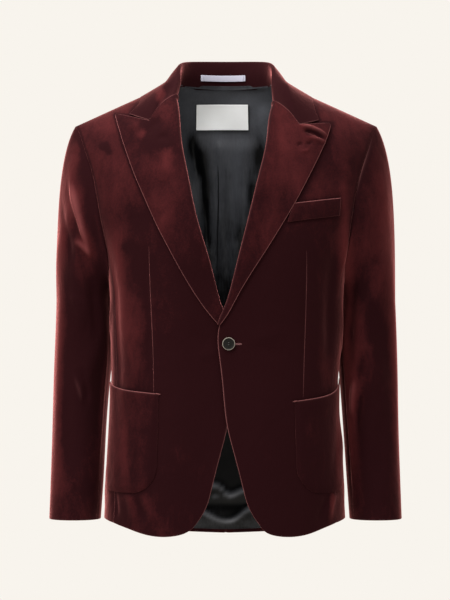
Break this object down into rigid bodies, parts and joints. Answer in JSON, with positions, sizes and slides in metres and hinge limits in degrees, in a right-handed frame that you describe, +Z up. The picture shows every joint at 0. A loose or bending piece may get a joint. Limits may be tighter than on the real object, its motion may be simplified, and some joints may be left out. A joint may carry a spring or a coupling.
{
  "type": "velvet blazer",
  "caption": "Hollow peak-lapel velvet blazer with a rolled collar, set-in sleeves, patch pockets, a chest welt and a button front, filled out as worn.",
  "frame": {"origin": "between the shoulders at the height of the neck seam, where the wearer's shoulders hold the garment", "axes": "+Z up, the wearer faces -Y, +X to the wearer's left"},
  "size_m": [0.549, 0.2565, 0.7446],
  "materials": {
    "velvet": "deep maroon cotton velvet with a short directional pile",
    "lining": "charcoal satin lining",
    "label": "bare pale grey woven satin",
    "tape": "bare white woven tape",
    "button": "black horn-like resin, softly polished"
  },
  "bodies": {
    "root": {"front_left": "velvet", "front_right": "velvet", "side_left": "velvet", "side_right": "velvet", "back_left": "velvet", "back_right": "velvet", "sleeve_top_left": "velvet", "sleeve_top_right": "velvet", "sleeve_under_left": "velvet", "sleeve_under_right": "velvet", "lapel_left": "velvet", "lapel_right": "velvet", "collar_fall": "velvet", "collar_stand": "velvet", "pocket_left": "velvet", "pocket_right": "velvet", "breast_welt": "velvet", "lining_back": "lining", "label": "label", "hanger_loop": "tape", "button": "button"}
  },
  "joints": []
}
